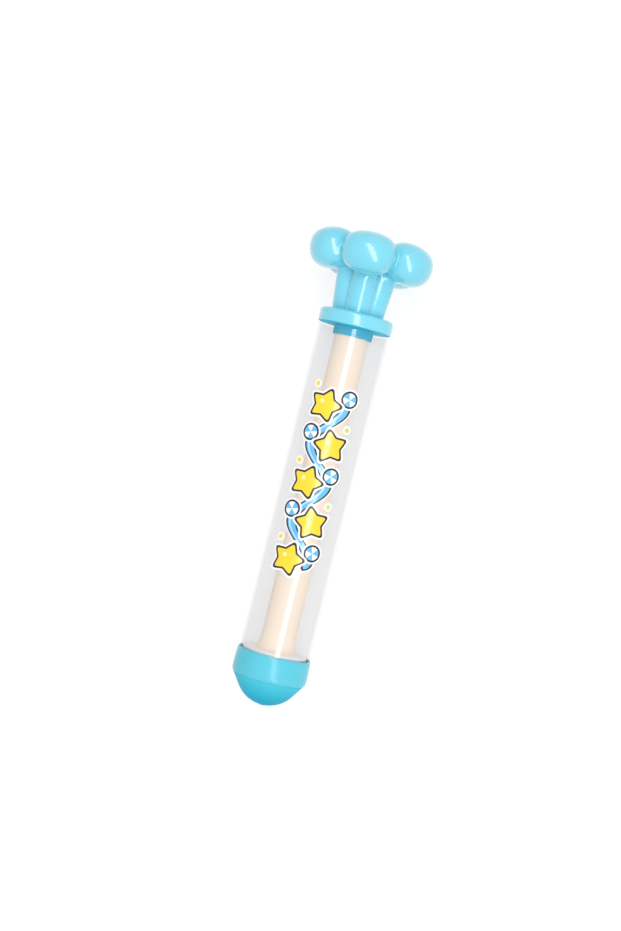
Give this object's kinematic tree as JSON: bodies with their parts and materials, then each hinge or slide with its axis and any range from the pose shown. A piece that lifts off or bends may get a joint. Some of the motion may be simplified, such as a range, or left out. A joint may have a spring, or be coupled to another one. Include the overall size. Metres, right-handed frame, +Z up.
{
  "type": "water squirter",
  "caption": "Hand-pumped water squirter: clear barrel with a domed nozzle cap, and a sliding plunger on a rod with a lobed, blossom-shaped pull handle.",
  "frame": {"origin": "middle of the underside of the part's box: the squirter lies on its side with the barrel level, and its two lower handle lobes touch z = 0", "axes": "+Y along the barrel's axis towards the handle, -Y out of the nozzle, +Z up through one lobe"},
  "size_m": [0.0792, 0.3004, 0.0767],
  "materials": {
    "clear_plastic": "clear, gloss",
    "blue_plastic": "gloss",
    "cream_plastic": "satin",
    "white_plastic": "satin",
    "seal_rubber": "satin",
    "gasket_rubber": "matt",
    "screw_steel": "zinc plated",
    "label_print": "printed film"
  },
  "bodies": {
    "barrel": {"barrel_tube": "clear_plastic", "nose_cap": "blue_plastic", "nose_gasket": "gasket_rubber", "stop_ring": "clear_plastic", "label_film": "label_print"},
    "seal": {"piston_seal": "seal_rubber"},
    "plunger": {"plunger_rod": "cream_plastic", "rod_plug": "white_plastic", "piston_back_plate": "white_plastic", "piston_front_plate": "white_plastic", "piston_screw": "screw_steel", "handle_stem": "blue_plastic", "handle_knob": "blue_plastic", "knob_cap": "blue_plastic", "handle_screw": "screw_steel"}
  },
  "joints": [
    {"name": "plunger_slide", "type": "slide", "parent": "barrel", "child": "seal", "axis": [0, 1, 0], "range_m": [0, 0.1997]},
    {"name": "plunger_spin", "type": "hinge", "parent": "seal", "child": "plunger", "pos_m": [0, -0.1198, 0.03689], "axis": [0, 1, 0], "continuous": true}
  ]
}
